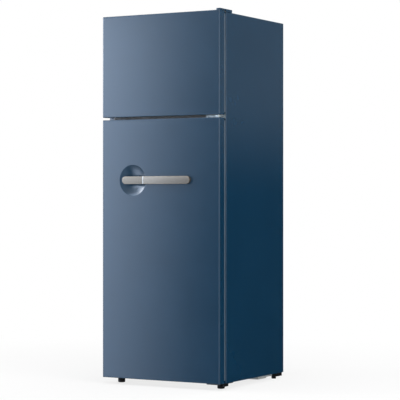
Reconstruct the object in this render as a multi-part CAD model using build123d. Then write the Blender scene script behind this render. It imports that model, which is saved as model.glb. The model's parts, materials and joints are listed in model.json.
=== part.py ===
from build123d import *
import os

# Upright refrigerator with a freezer on top, right-hinged doors, standing on four feet.
# Frame: +Z up, -Y is the front, origin on the floor under the middle of the whole box. Millimetres.

# Overall driving dimensions
cabinet_width = 520.0
cabinet_depth = 473.0
floor_clearance = 24.0
fridge_door_height = 995.0
freezer_door_height = 390.0
door_gap = 10.0
door_lift = 1.0
door_rise = 3.0
door_depth = 36.0
gasket_gap = 14.0

# Sheet, liner and insulation thicknesses
steel = 0.8
liner_wall = 1.5
side_wall = 42.0
top_wall = 46.0
back_wall = 50.0
floor_wall = 46.0
mullion_wall = 66.0
flange_width = 22.0
cabinet_round = 4.0
liner_round = 18.0
back_inset = 2.0

# Compressor compartment at the lower rear
bay_depth = 160.0
bay_height = 200.0
hump_wall = 42.0

# Handle, its finger dish and the band across it
handle_stand = 13.0
handle_length = 300.0
handle_height = 30.5
handle_crown = 0.7
handle_start = 97.0
handle_below_top = 233.0
grip_length = 92.0
grip_thickness = 8.0
band_width = 5.0
band_proud = 0.4
handle_edge = 1.6
dish_diameter = 120.0
dish_depth = 12.0
dish_lip = 3.0
dish_start = 79.0
dish_wall = 1.5
handle_stud_radius = 2.5
handle_stud_length = 14.0
handle_stud_inset = 40.0
stud_play = 0.1

# Doors
cap_height = 6.0
door_round = 5.0
cap_edge = 2.0
dyke_clear = 10.0
dyke_width = 20.0
dyke_height = 38.0
dyke_crown = 6.0
dyke_round = 14.0
boss_radius = 11.0
boss_height = 17.0

# Gasket, as rings inset from the edge of the door
gasket_inset = 8.0
gasket_side_inset = 1.5
gasket_foot = 3.0
gasket_round = 6.0
gasket_fin_width = 2.5
gasket_fin_height = 9.5
magnet_inset = 15.0
magnet_width = 11.0
magnet_height = 6.0
bellows_width = 6.0
gasket_touch = 0.3

# Hinges
hinge_inset = 14.0
pin_radius = 4.0
pin_length = 14.0
pin_play = 0.05
plate_thickness = 3.0
hinge_clear = 1.0
tongue_half = 11.0
middle_plate_height = 22.0
middle_plate_length = 86.0
top_plate_width = 17.0
top_plate_tail = 42.0
cover_length = 97.0
cover_play = 0.6
cover_height = 10.0
cover_wall = 1.6
cover_front = 4.5
cover_round = 10.0
top_plate_round = 8.0
bottom_plate_width = 60.0
bottom_plate_tail = 66.0
bottom_lip_drop = 9.0
screw_head_radius = 4.0
screw_head_height = 2.0
screw_shank_radius = 2.0
hinge_screw_places = (54.0, 78.0)
plate_screw_inset = 50.0
plate_screw_setbacks = (14.0, 52.0)
plug_places = (30.0, 54.0, 78.0)

# Feet
foot_inset = 38.0
foot_setback = 29.0
foot_pad_radius = 14.0
foot_pad_height = 16.0
foot_pad_round = 3.5
foot_pad_edge = 1.5
foot_stud_radius = 4.0
foot_stud_length = 30.0
foot_stud_play = 0.4
foot_grips = 12
foot_grip_radius = 1.6
rear_foot_inset = 25.0
rear_foot_setback = 35.0
rear_foot_radius = 9.0
rear_foot_pad = 10.0
rear_foot_length = 44.0
rear_foot_width = 24.0

# Shelves, bins and drawer
shelf_thickness = 4.0
shelf_side_play = 1.0
shelf_front = 76.0
shelf_rear_play = 8.0
shelf_trim_depth = 10.0
shelf_trim_height = 12.0
shelf_rib_width = 9.0
shelf_rib_height = 6.0
lower_shelf_rise = 214.0
upper_shelf_rise = 434.0
freezer_shelf_rise = 150.0
wire_radius = 1.6
frame_wire_radius = 2.6
wire_spacing = 20.0
bin_wall = 2.0
bin_depth = 72.0
bin_play = 0.6
bin_round = 20.0
bin_rim = 1.6
bin_rim_height = 7.0
bin_seat = 5.0
bin_seat_height = 9.0
fridge_bins = ((9.0, 120.0), (352.0, 84.0), (620.0, 84.0))
freezer_bins = ((9.0, 74.0), (140.0, 74.0))
drawer_side_play = 16.0
drawer_wall = 2.5
drawer_top_play = 5.0
drawer_travel = 36.0
drawer_play = 0.4
drawer_rear_play = 2.0
drawer_round = 12.0
drawer_pull_width = 140.0
drawer_pull_drop = 18.0
drawer_runner_width = 8.0
drawer_runner_height = 3.5
drawer_runner_inset = 40.0

# Temperature control, lamp and light switch under the fridge ceiling
control_width = 170.0
control_depth = 120.0
control_height = 40.0
control_front = 92.0
control_wall = 2.0
control_round = 6.0
knob_radius = 17.0
knob_length = 14.0
knob_play = 0.4
knob_place = 45.0
knob_ridge_width = 6.0
knob_ridge_height = 5.0
shaft_radius = 3.0
thermostat_size = 34.0
lamp_width = 70.0
lamp_depth = 46.0
lamp_drop = 7.0
switch_place = 130.0
switch_width = 26.0
switch_length = 36.0
switch_height = 24.0
plunger_radius = 4.0
plunger_play = 0.4
plunger_travel = 8.0

# Machinery
tray_wall = 1.5
tray_inset = 30.0
tray_floor = 11.0
tray_skid = 7.0
tray_skid_length = 66.0
tray_lip = 8.0
compressor_length = 180.0
compressor_depth = 130.0
compressor_height = 150.0
compressor_round = 55.0
compressor_dome = 34.0
compressor_place = -60.0
compressor_setback = 82.0
compressor_seam = 3.0
compressor_seam_height = 8.0
mount_plate_thickness = 3.0
mount_plate_overhang = 12.0
mount_reach = 4.0
mount_draw = 25.0
grommet_radius = 11.0
grommet_height = 14.0
grommet_groove = 4.0
grommet_taper = 1.5
grommet_play = 0.1
mount_bolt_radius = 3.0
mount_bolt_head = 6.0
mount_bolt_head_height = 4.0
terminal_width = 64.0
terminal_height = 70.0
terminal_depth = 30.0
drip_pan_length = 130.0
drip_pan_depth = 92.0
drip_pan_height = 24.0
drip_pan_wall = 1.8
drain_radius = 8.0
drain_wall = 1.5
tube_radius = 3.2
tube_bend = 18.0
tube_hole_play = 0.6
port_length = 14.0
capillary_radius = 1.2
drier_radius = 9.0
drier_length = 90.0
drier_inset = 90.0
drier_drop = 45.0
liquid_inset = 50.0
liquid_rise = 20.0
capillary_gap = 24.0
capillary_drop = 22.0
discharge_inset = 45.0
discharge_rise = 40.0
suction_rise = 30.0
tail_setback = 33.0
condenser_setback = 70.0
coil_radius = 2.4
coil_pitch = 55.0
coil_passes = 6
coil_top_gap = 110.0
coil_bend_play = 0.4
coil_touch = 0.05
coil_pocket_play = 8.0
suction_place = 100.0
gland_inset = 110.0
gland_radius = 8.0
gland_length = 12.0
gland_bore = 4.0

# Derived levels and planes
half_width = cabinet_width / 2
overall_depth = handle_stand + band_proud + door_depth + gasket_gap + cabinet_depth
door_front = handle_stand + band_proud - overall_depth / 2
door_back = door_front + door_depth
cabinet_front = door_back + gasket_gap
cabinet_back = cabinet_front + cabinet_depth
cabinet_bottom = floor_clearance
fridge_door_z = (cabinet_bottom + door_lift, cabinet_bottom + door_lift + fridge_door_height)
freezer_door_z = (fridge_door_z[1] + door_gap, fridge_door_z[1] + door_gap + freezer_door_height)
cabinet_top = freezer_door_z[1] - door_rise
mullion_mid = fridge_door_z[1] + door_gap / 2
cavity_half = half_width - side_wall
cavity_back = cabinet_back - back_wall
fridge_floor = cabinet_bottom + floor_wall
fridge_ceiling = mullion_mid - mullion_wall / 2
freezer_floor = mullion_mid + mullion_wall / 2
freezer_ceiling = cabinet_top - top_wall
bay_front = cabinet_back - bay_depth
bay_top = cabinet_bottom + bay_height
hump_front = bay_front - hump_wall
hump_top = bay_top + hump_wall
hinge_x = half_width - hinge_inset
hinge_y = door_front + door_depth / 2
dyke_half = cavity_half - dyke_clear
dyke_inner = dyke_half - dyke_width
fill_back = door_back + dyke_height - dyke_crown
bin_back = door_back + bin_wall / 2 + bin_depth
foot_x = half_width - foot_inset
foot_y = cabinet_front + foot_setback
handle_z = fridge_door_z[1] - handle_below_top
dish_x = dish_start + dish_diameter / 2 - half_width
drawer_front = bin_back + drawer_travel + hinge_clear
rear_skin = cabinet_back - back_inset - steel
coil_plane = half_width - steel - coil_radius - coil_touch
evaporator_plane = cavity_back + liner_wall + coil_radius + coil_touch
suction_plane = cavity_back + liner_wall + tube_radius + coil_touch


# A box from three spans of (low, high)
def block(x, y, z):
    middle = [(low + high) / 2 for low, high in (x, y, z)]
    return Pos(*middle) * Box(x[1] - x[0], y[1] - y[0], z[1] - z[0])


# A span moved out by the same amount at both ends
def grown(span, amount):
    return (span[0] - amount, span[1] + amount)


# A span of the same size on both sides of zero
def both(half):
    return (-half, half)


# A slab that faces the front, with round corners seen from the front
def panel(x, y, z, radius=0.0):
    width = x[1] - x[0]
    height = z[1] - z[0]
    outline = RectangleRounded(width, height, radius) if radius else Rectangle(width, height)
    place = Pos((x[0] + x[1]) / 2, y[0], (z[0] + z[1]) / 2) * Rot(-90, 0, 0)
    return place * extrude(outline, y[1] - y[0])


# A frame that faces the front: a slab with its middle cut out
def ring(x, y, z, border, radius=0.0):
    hole_round = max(radius - border, 0.0)
    hole = panel(grown(x, -border), grown(y, 1), grown(z, -border), hole_round)
    return panel(x, y, z, radius) - hole


# Round bars along each axis
def bar_x(x, y, z, radius):
    return Pos((x[0] + x[1]) / 2, y, z) * Rot(0, 90, 0) * Cylinder(radius, x[1] - x[0])


def bar_y(x, y, z, radius):
    return Pos(x, (y[0] + y[1]) / 2, z) * Rot(90, 0, 0) * Cylinder(radius, y[1] - y[0])


def bar_z(x, y, z, radius):
    return Pos(x, y, (z[0] + z[1]) / 2) * Cylinder(radius, z[1] - z[0])


# A round tube along straight runs joined by tangent arcs
def tube(points, radius, bend):
    path = FilletPolyline(*points, radius=bend)
    section = Plane(origin=path @ 0, z_dir=path % 0) * Circle(radius)
    return sweep(section, path=path)


# Fillets the edges along one axis whose middles pass a test
def rounded(shape, axis, radius, test):
    chosen = [edge for edge in shape.edges().filter_by(axis) if test(edge.center())]
    return fillet(chosen, radius)


def near(a, b):
    return abs(a - b) < 0.01


# A profile given as (y, z) points, carried from one x to another
def profile_x(points, x, corner_round=0.0, corners=()):
    outline = make_face(Polyline(*points, close=True))
    if corner_round:
        picked = [v for v in outline.vertices() if any(near(v.X, y) and near(v.Y, z) for y, z in corners)]
        outline = fillet(picked, corner_round)
    solid = extrude(outline, x[1] - x[0])
    return Pos(x[0], 0, 0) * Rot(0, 0, 90) * Rot(90, 0, 0) * solid


# Cabinet shell

# The painted box without its front, used at full size and again one sheet smaller
def cabinet_box(inset, front, back, bottom, radius):
    half = half_width - inset
    top = cabinet_top - inset
    box = block(both(half), (front, back), (bottom, top))
    box = rounded(box, Axis.Z, radius, lambda p: near(p.Y, front))
    box = rounded(box, Axis.Y, radius, lambda p: near(p.Z, top))
    return box


# Room inside the painted sheet
def wrapper_inside():
    front = cabinet_front + steel
    return cabinet_box(steel, front, cabinet_back + 1, cabinet_bottom - 1, cabinet_round - steel)


def make_wrapper():
    outer = cabinet_box(0, cabinet_front, cabinet_back, cabinet_bottom, cabinet_round)
    window_half = half_width - flange_width
    window = block(both(window_half), grown((cabinet_front, cabinet_front + steel), 1),
                   (cabinet_bottom - 1, cabinet_top - flange_width))
    return outer - wrapper_inside() - window


# One bent sheet: front lip, floor, and the wall and roof of the compressor bay
def make_base_panel():
    half = half_width - steel
    floor = block(both(half), (cabinet_front + steel, bay_front), (cabinet_bottom, cabinet_bottom + steel))
    wall = block(both(half), (bay_front - steel, bay_front), (cabinet_bottom, bay_top + steel))
    roof = block(both(half), (bay_front - steel, rear_skin), (bay_top, bay_top + steel))
    lip = block(both(half_width - flange_width), (cabinet_front, cabinet_front + steel),
                (cabinet_bottom, cabinet_bottom + flange_width))
    sheet = (floor + wall + roof) & wrapper_inside()
    sheet += lip
    for side in (-1, 1):
        sheet -= bar_z(side * foot_x, foot_y, grown((cabinet_bottom, cabinet_bottom + steel), 1), stud_well)
    for x, y, radius in roof_holes:
        sheet -= bar_z(x, y, grown((bay_top, bay_top + steel), 1), radius + tube_hole_play)
    return sheet


# Flat rear sheet with pressed stiffening ribs
def make_back_panel():
    low = bay_top + steel
    sheet = block(both(half_width - steel), (rear_skin, rear_skin + steel), (low, cabinet_top - steel))
    rib_half = half_width - rib_margin
    for step in range(1, rib_count + 1):
        z = low + (cabinet_top - low) * step / (rib_count + 1)
        rib_z = (z - rib_height / 2, z + rib_height / 2)
        rib = panel(both(rib_half), (rear_skin + steel, cabinet_back), rib_z,
                    rib_height / 2 - 0.5)
        sheet += rib
    return sheet & wrapper_inside()


rib_count = 5
rib_height = 16.0
rib_margin = 60.0
stud_well = foot_stud_radius + 2.0
tail_y = cabinet_back - tail_setback
condenser_first = cabinet_back - condenser_setback
drier_x = half_width - drier_inset
roof_holes = (
    (suction_place, suction_plane, tube_radius),
    (discharge_inset - half_width, tail_y, tube_radius),
    (half_width - liquid_inset, tail_y, tube_radius),
    (drier_x - capillary_gap, tail_y, capillary_radius),
    (compressor_place, cabinet_back - compressor_setback, drain_radius),
)


# Compartment liners

# Free space of the freezer, or that space grown by the liner's wall
def freezer_space(amount):
    space = block(both(cavity_half + amount), (cabinet_front, cavity_back + amount),
                  (freezer_floor - amount, freezer_ceiling + amount))
    return rounded(space, Axis.Y, liner_round + amount, lambda p: True)


# Free space of the fridge, stepped over the compressor bay
def fridge_space(amount):
    back = cavity_back + amount
    low = fridge_floor - amount
    high = fridge_ceiling + amount
    step_y = hump_front + amount
    step_z = hump_top - amount
    points = [(cabinet_front, low), (step_y, low), (step_y, step_z), (back, step_z), (back, high),
              (cabinet_front, high)]
    space = profile_x(points, both(cavity_half + amount))
    long_edges = lambda p: near(abs(p.X), cavity_half + amount) and (near(p.Z, low) or near(p.Z, high))
    return rounded(space, Axis.Y, liner_round + amount, long_edges)


# Front flange of a liner, from its mouth out to the steel around it
def liner_flange(low, high):
    return block(both(half_width - flange_width), (cabinet_front, cabinet_front + liner_wall), (low, high))


# Side ledges that carry a shelf whose underside is at z
def shelf_ribs(z, front, back):
    ribs = []
    for side in (-1, 1):
        x = sorted((side * (cavity_half - shelf_rib_width), side * cavity_half))
        ribs.append(block(x, (front, back), (z - shelf_rib_height, z)))
    return ribs


# All the ledges of both compartments
def make_shelf_ledges():
    ledges = shelf_ribs(freezer_shelf_z - frame_wire_radius, *shelf_y)
    for level in fridge_shelf_levels:
        back = min(shelf_y[1], hump_front) if level == hump_top else shelf_y[1]
        ledges += shelf_ribs(level, shelf_y[0], back)
    return ledges


mullion_flange = 5.0
freezer_flange_z = (freezer_floor - mullion_flange, cabinet_top - flange_width)
fridge_flange_z = (cabinet_bottom + flange_width, fridge_ceiling + mullion_flange)
shelf_y = (cabinet_front + shelf_front, cavity_back - shelf_rear_play)
lower_shelf_z = hump_top + lower_shelf_rise
upper_shelf_z = hump_top + upper_shelf_rise
freezer_shelf_z = freezer_floor + freezer_shelf_rise
fridge_shelf_levels = (hump_top, lower_shelf_z, upper_shelf_z)


def make_freezer_liner():
    shell = freezer_space(liner_wall) + liner_flange(*freezer_flange_z)
    return shell - freezer_space(0)


def make_fridge_liner():
    shell = fridge_space(liner_wall) + liner_flange(*fridge_flange_z)
    return shell - fridge_space(0)


# Steel strip across the front between the two compartments
def make_mullion_rail():
    return block(both(half_width - flange_width), (cabinet_front, cabinet_front + steel),
                 (fridge_flange_z[1], freezer_flange_z[0]))


def make_mullion_plugs():
    plugs = []
    for place in plug_places:
        x = place - half_width
        head = bar_y(x, (cabinet_front - screw_head_height, cabinet_front), mullion_mid, screw_head_radius)
        edge = head.edges().filter_by(GeomType.CIRCLE).sort_by(Axis.Y)[0]
        plugs.append(fillet(edge, screw_head_height / 2))
    return plugs


# Foam that fills the walls, with room for what is buried in it
def make_cabinet_foam(wrapped):
    front = cabinet_front + steel
    inner = cabinet_box(steel, front, rear_skin, cabinet_bottom + steel, cabinet_round - steel)
    bay = block(both(half_width), (bay_front - steel, cabinet_back), (cabinet_bottom, bay_top + steel))
    foam = inner - bay
    foam -= freezer_space(liner_wall)
    foam -= fridge_space(liner_wall)
    foam -= liner_flange(*freezer_flange_z)
    foam -= liner_flange(*fridge_flange_z)
    for pocket in wrapped:
        foam -= pocket
    return foam


# Refrigerant circuit buried in the walls

# Back and forth runs: along is the long direction, across the stepping direction
def serpentine(long_span, start, pitch, passes):
    points = []
    for index in range(passes):
        ends = long_span if index % 2 == 0 else (long_span[1], long_span[0])
        points += [(ends[0], start + pitch * index), (ends[1], start + pitch * index)]
    return points


condenser_z = (bay_top + steel, cabinet_top - coil_top_gap)
condenser_span = coil_pitch * (coil_passes - 1)
evaporator_half = cavity_half - coil_pitch
evaporator_pitch = (freezer_ceiling - freezer_floor - coil_pitch) / (coil_passes - 1)
evaporator_low = freezer_floor + coil_pitch / 2


def make_condenser(side):
    x = side * coil_plane
    runs = serpentine(condenser_z, 0, -coil_pitch, coil_passes)
    low = condenser_z[0] + coil_pitch
    points = [(x, condenser_first + y, z if y == 0 or z > low else low) for z, y in runs]
    return tube(points, coil_radius, coil_pitch / 2 - coil_bend_play)


def condenser_pocket(side):
    x = sorted((side * (half_width - steel), side * (coil_plane - coil_radius - coil_touch)))
    y = grown((condenser_first - condenser_span, condenser_first), coil_pocket_play)
    return block(x, y, (condenser_z[0], condenser_z[1] + coil_pocket_play))


def make_evaporator():
    runs = serpentine(both(evaporator_half), evaporator_low, evaporator_pitch, coil_passes)
    points = [(x, evaporator_plane, z) for x, z in runs]
    return tube(points, coil_radius, evaporator_pitch / 2 - coil_bend_play)


def evaporator_pocket():
    high = evaporator_low + evaporator_pitch * (coil_passes - 1)
    return block(both(evaporator_half + coil_pocket_play),
                 (cavity_back + liner_wall, evaporator_plane + coil_radius + coil_touch),
                 (evaporator_low - coil_pocket_play, high + coil_pocket_play))


def suction_channel():
    return block((suction_place - coil_pocket_play, suction_place + coil_pocket_play),
                 (cavity_back + liner_wall, suction_plane + tube_radius + tube_hole_play),
                 (bay_top, evaporator_low))


# Compressor bay

def tray_levels():
    front = bay_front + tray_wall
    back = cabinet_back - tray_lip
    return front, back


# Galvanised tray under the compressor, with a deeper skid along its front
def make_tray():
    front, back = tray_levels()
    slope_end = front + tray_skid_length + (tray_floor - tray_skid)
    top = cabinet_bottom
    skid_end = front + tray_skid_length
    outline = [(front, top), (front, tray_skid), (skid_end, tray_skid), (slope_end, tray_floor),
               (back, tray_floor), (back, top)]
    side_x = half_width - tray_inset
    tray = profile_x(outline, both(side_x))
    inside_y = (front + tray_wall, back - tray_wall)
    tray -= block(both(side_x - tray_wall), inside_y, (tray_floor + tray_wall, top + 1))
    under = [(front + tray_wall, tray_skid - 1), (front + tray_skid_length - 2 * tray_wall, tray_skid - 1),
             (slope_end - 2 * tray_wall, tray_floor), (front + tray_wall, tray_floor)]
    tray -= profile_x(under, both(side_x - tray_wall))
    for side in (-1, 1):
        x = sorted((side * (side_x - tray_wall), side * (half_width - steel)))
        tray += block(x, (front, back), (top, top + tray_wall))
    return tray - bar_y(gland_x, grown((back - tray_wall, back), 1), gland_z, gland_radius - 2)


gland_x = gland_inset - half_width
gland_z = tray_floor + 8.0 + 1.0
compressor_y = cabinet_back - compressor_setback
grommet_base = tray_floor + tray_wall
mount_plate_z = grommet_base + grommet_groove + 3.0
shell_base = mount_plate_z + mount_plate_thickness
shell_z = (shell_base, shell_base + compressor_height)
seam_z = shell_z[0] + compressor_height * 0.45
port_z = shell_z[0] + compressor_height * 0.62
mount_x = compressor_length / 2 + mount_reach
mount_y = compressor_depth / 2 - mount_draw


# Hollow rubber bush for the mains lead, in the rear lip of the tray
def make_gland():
    back = tray_levels()[1]
    bush = bar_y(gland_x, (back, back + tray_lip), gland_z, gland_radius - 1)
    bush += bar_y(gland_x, (back - tray_wall, back), gland_z, gland_radius - 2)
    bush += bar_y(gland_x, (back - tray_wall - 2, back - tray_wall), gland_z, gland_radius - 1)
    return bush - bar_y(gland_x, (back - gland_length, back + gland_length), gland_z, gland_bore)


def mount_places():
    return [(compressor_place + sx * mount_x, compressor_y + sy * mount_y)
            for sx in (-1, 1) for sy in (-1, 1)]


# Welded pot of the compressor with its seam and the two tube stubs
def make_compressor():
    outline = Pos(compressor_place, compressor_y, shell_z[0]) * RectangleRounded(
        compressor_length, compressor_depth, compressor_round)
    pot = extrude(outline, compressor_height)
    rims = [e for e in pot.edges() if near(e.center().Z, shell_z[1])]
    pot = fillet(rims, compressor_dome)
    seam_outline = Pos(compressor_place, compressor_y, seam_z) * RectangleRounded(
        compressor_length + 2 * compressor_seam, compressor_depth + 2 * compressor_seam,
        compressor_round + compressor_seam)
    pot += extrude(seam_outline, compressor_seam_height)
    end = compressor_length / 2
    pot += bar_x((compressor_place - end - port_length, compressor_place), compressor_y, port_z, tube_radius)
    suction_x = (compressor_place, compressor_place + end + port_length)
    pot += bar_x(suction_x, compressor_y, suction_z, tube_radius)
    return pot + make_mount_plate()


suction_z = seam_z + compressor_seam_height + 30.0


def make_mount_plate():
    reach_x = mount_x + mount_plate_overhang
    reach_y = mount_y + mount_plate_overhang
    plate = block((compressor_place - reach_x, compressor_place + reach_x),
                  (compressor_y - reach_y, compressor_y + reach_y),
                  (mount_plate_z, mount_plate_z + mount_plate_thickness))
    plate = rounded(plate, Axis.Z, mount_plate_overhang - 1, lambda p: True)
    for x, y in mount_places():
        plate -= bar_z(x, y, grown((mount_plate_z, mount_plate_z + mount_plate_thickness), 1),
                       grommet_radius - 4 + grommet_play)
    return plate


def make_grommets():
    pieces = []
    for x, y in mount_places():
        low = bar_z(x, y, (grommet_base, mount_plate_z), grommet_radius)
        neck = bar_z(x, y, (grommet_base, grommet_base + grommet_height), grommet_radius - 4)
        high = bar_z(x, y, (shell_base, grommet_base + grommet_height), grommet_radius - grommet_taper)
        hole = bar_z(x, y, (grommet_base - 1, grommet_base + grommet_height + 1), mount_bolt_radius)
        pieces.append(low + neck + high - hole)
    return pieces


def make_mount_bolts():
    top = grommet_base + grommet_height
    pieces = []
    for x, y in mount_places():
        head = extrude(Pos(x, y, top) * RegularPolygon(mount_bolt_head, 6), mount_bolt_head_height)
        pieces.append(head + bar_z(x, y, (grommet_base, top), mount_bolt_radius))
    return pieces


# Plastic cover over the starter relay, on the end of the pot
def make_terminal_cover():
    start = compressor_place + compressor_length / 2
    z = (shell_z[0] + 10, shell_z[0] + 10 + terminal_height)
    cover = block((start - terminal_depth, start + terminal_depth),
                  (compressor_y - terminal_width / 2, compressor_y + terminal_width / 2), z)
    cover = rounded(cover, Axis.Z, 6, lambda p: p.X > start)
    whole = extrude(Pos(compressor_place, compressor_y, shell_z[0] - 1) * RectangleRounded(
        compressor_length + 2 * compressor_seam, compressor_depth + 2 * compressor_seam,
        compressor_round + compressor_seam), compressor_height)
    return (cover - whole).solids().sort_by(SortBy.VOLUME)[-1]


# Open pan on the compressor that dries off the melt water
def make_drip_pan():
    x = (compressor_place - drip_pan_length / 2, compressor_place + drip_pan_length / 2)
    y = (compressor_y - drip_pan_depth / 2, compressor_y + drip_pan_depth / 2)
    z = (shell_z[1], shell_z[1] + drip_pan_height)
    pan = rounded(block(x, y, z), Axis.Z, 10, lambda p: True)
    hollow = block(grown(x, -drip_pan_wall), grown(y, -drip_pan_wall), (z[0] + drip_pan_wall, z[1] + 1))
    return pan - rounded(hollow, Axis.Z, 10 - drip_pan_wall, lambda p: True)


def make_drain_tube():
    z = (shell_z[1] + drip_pan_height / 2, bay_top)
    whole = bar_z(compressor_place, compressor_y, z, drain_radius)
    return whole - bar_z(compressor_place, compressor_y, grown(z, 1), drain_radius - drain_wall)


def make_discharge_tube():
    start = compressor_place - compressor_length / 2 - port_length
    x, y, radius = roof_holes[1]
    points = [(start, compressor_y, port_z), (x, compressor_y, port_z),
              (x, y, port_z + discharge_rise), (x, y, bay_top)]
    return tube(points, radius, tube_bend)


def make_suction_tube():
    start = compressor_place + compressor_length / 2 + port_length
    x, y, radius = roof_holes[0]
    points = [(start, compressor_y, suction_z), (x, compressor_y, suction_z),
              (x, y, suction_z + suction_rise),
              (x, y, evaporator_low - coil_radius)]
    return tube(points, radius, tube_bend)


drier_top = bay_top - drier_drop
drier_y = tail_y


def make_drier():
    body = bar_z(drier_x, drier_y, (drier_top - drier_length, drier_top), drier_radius)
    body = fillet(body.edges().filter_by(GeomType.CIRCLE), drier_radius / 2)
    return body + make_liquid_tube() + make_capillary_tube()


def make_liquid_tube():
    x, y, radius = roof_holes[2]
    points = [(drier_x, drier_y, drier_top), (drier_x, drier_y, drier_top + liquid_rise),
              (x, y, drier_top + liquid_rise), (x, y, bay_top)]
    return tube(points, radius, tube_bend / 2)


def make_capillary_tube():
    x, y, radius = roof_holes[3]
    low = drier_top - drier_length
    lowest = low - capillary_drop
    points = [(drier_x, drier_y, low), (drier_x, drier_y, lowest), (x, y, lowest), (x, y, bay_top)]
    return tube(points, radius, tube_bend / 2)


# Feet

def make_front_foot(side):
    x = side * foot_x
    pad = bar_z(x, foot_y, (0, foot_pad_height), foot_pad_radius)
    pad = fillet(pad.edges().filter_by(GeomType.CIRCLE).sort_by(Axis.Z)[0], foot_pad_round)
    pad = fillet(pad.edges().filter_by(GeomType.CIRCLE).sort_by(Axis.Z)[-1], foot_pad_edge)
    for index in range(foot_grips):
        turn = Rot(0, 0, 360 * index / foot_grips)
        spot = Pos(x, foot_y, 0) * turn * Pos(foot_pad_radius, 0, foot_pad_height)
        pad -= spot * Cylinder(foot_grip_radius, foot_pad_height)
    stud_z = (foot_pad_height - 1, foot_pad_height + foot_stud_length)
    return pad + bar_z(x, foot_y, stud_z, foot_stud_radius)


def foot_well(side):
    top = foot_pad_height + foot_stud_length + 4
    return bar_z(side * foot_x, foot_y, (cabinet_bottom, top), stud_well)


# Black moulded block under the rear corner, with a round pad
def make_rear_foot(side):
    x = side * (half_width - rear_foot_inset)
    y = cabinet_back - rear_foot_setback
    body_y = (cabinet_back - rear_foot_length - 1, cabinet_back - 1)
    inner = half_width - tray_inset + 1
    side_x = sorted((side * inner, side * (inner + rear_foot_width)))
    body = block(side_x, body_y, (rear_foot_pad, cabinet_bottom))
    body = rounded(body, Axis.Z, 3, lambda p: True)
    pad = bar_z(x, y, (0, rear_foot_pad), rear_foot_radius)
    pad = fillet(pad.edges().filter_by(GeomType.CIRCLE).sort_by(Axis.Z)[0], 1.2)
    return body + pad


# Hinges

plate_z = (cabinet_bottom - plate_thickness, cabinet_bottom)
top_plate_z = freezer_door_z[1] + hinge_clear


def screw(place, direction, head_radius=None):
    radius = head_radius or screw_head_radius
    head = Cylinder(radius, screw_head_height, align=(Align.CENTER, Align.CENTER, Align.MIN))
    edge = head.edges().filter_by(GeomType.CIRCLE).sort_by(Axis.Z)[-1]
    head = fillet(edge, screw_head_height / 2)
    cross = Box(radius * 1.1, 0.9, screw_head_height) + Box(0.9, radius * 1.1, screw_head_height)
    head -= Pos(0, 0, screw_head_height) * cross
    return Plane(origin=place, z_dir=direction) * head


# Cranked plate on the cabinet roof that reaches over the freezer door
def make_top_hinge():
    front = hinge_y - tongue_half
    step = cabinet_front + 6
    back = cabinet_front + top_plate_tail
    low = cabinet_top
    high = top_plate_z
    rise = step + plate_thickness
    outline = [(front, high), (step, high), (step, low), (back, low), (back, low + plate_thickness),
               (rise, low + plate_thickness), (rise, high + plate_thickness),
               (front, high + plate_thickness)]
    edge = half_width - cover_wall - cover_play
    x = (edge - top_plate_width, edge)
    ends = lambda p: near(p.Y, front) or near(p.Y, back)
    plate = rounded(profile_x(outline, x), Axis.Z, top_plate_round, ends)
    pin_z = (freezer_door_z[1] - pin_length, high + plate_thickness)
    return plate + bar_z(hinge_x, hinge_y, pin_z, pin_radius)


def make_top_hinge_screws():
    z = cabinet_top + plate_thickness
    x = half_width - cover_wall - cover_play - top_plate_width / 2
    places = [(x, cabinet_front + top_plate_tail * share, z) for share in (0.42, 0.78)]
    return [screw(place, (0, 0, 1)) for place in places]


# Painted cover over the top hinge
def make_top_cover():
    y = (door_front + cover_front, door_front + cover_length)
    x = (half_width - top_plate_width - 2 * cover_wall - 2 * cover_play, half_width)
    z = (cabinet_top, cabinet_top + cover_height)
    left = lambda p: p.X < half_width - top_plate_width / 2
    cover = rounded(block(x, y, z), Axis.Z, cover_round, left)
    hollow = block(grown(x, -cover_wall), grown(y, -cover_wall), (z[0] - 1, z[1] - cover_wall))
    cover -= rounded(hollow, Axis.Z, cover_round - cover_wall, left)
    over_door = block(grown(x, 1), (y[0] - 1, cabinet_front - hinge_clear), (z[0] - 1, top_plate_z))
    return cover - over_door


# Angle plate on the mullion with a tongue between the doors and a pin each way
def make_middle_hinge():
    plate_y = (cabinet_front - plate_thickness + 0.5, cabinet_front)
    x = (half_width - middle_plate_length, half_width - 2)
    wall = panel(x, plate_y, grown(both(0), middle_plate_height / 2), 3)
    wall = Pos(0, 0, mullion_mid) * wall
    tongue_z = grown((mullion_mid, mullion_mid), plate_thickness / 2)
    tongue_x = (hinge_x - tongue_half, hinge_x + tongue_half)
    tongue = block(tongue_x, (hinge_y - tongue_half, plate_y[1]), tongue_z)
    tongue = rounded(tongue, Axis.Z, tongue_half - 1, lambda p: p.Y < hinge_y)
    pin_z = (fridge_door_z[1] - pin_length, freezer_door_z[0] + pin_length)
    pins = bar_z(hinge_x, hinge_y, pin_z, pin_radius)
    bracket = wall + tongue + pins
    for place in hinge_screw_places:
        bracket -= bar_y(half_width - place, grown(plate_y, 1), mullion_mid, screw_shank_radius + 0.2)
    return bracket


def make_middle_hinge_screws():
    y = cabinet_front - plate_thickness + 0.5
    pieces = []
    for place in hinge_screw_places:
        x = half_width - place
        shank = bar_y(x, (y, cabinet_front), mullion_mid, screw_shank_radius)
        pieces.append(screw((x, y, mullion_mid), (0, -1, 0)) + shank)
    return pieces


# Plate under a front corner that takes the foot's stud; the right one also carries the lower hinge pin
def corner_plate(side, front):
    x = sorted((side * (half_width - 3), side * (half_width - 3 - bottom_plate_width)))
    plate = block(x, (front, cabinet_front + bottom_plate_tail), plate_z)
    plate = rounded(plate, Axis.Z, 8, lambda p: True)
    return plate - bar_z(side * foot_x, foot_y, grown(plate_z, 1), foot_stud_radius + foot_stud_play)


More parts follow.
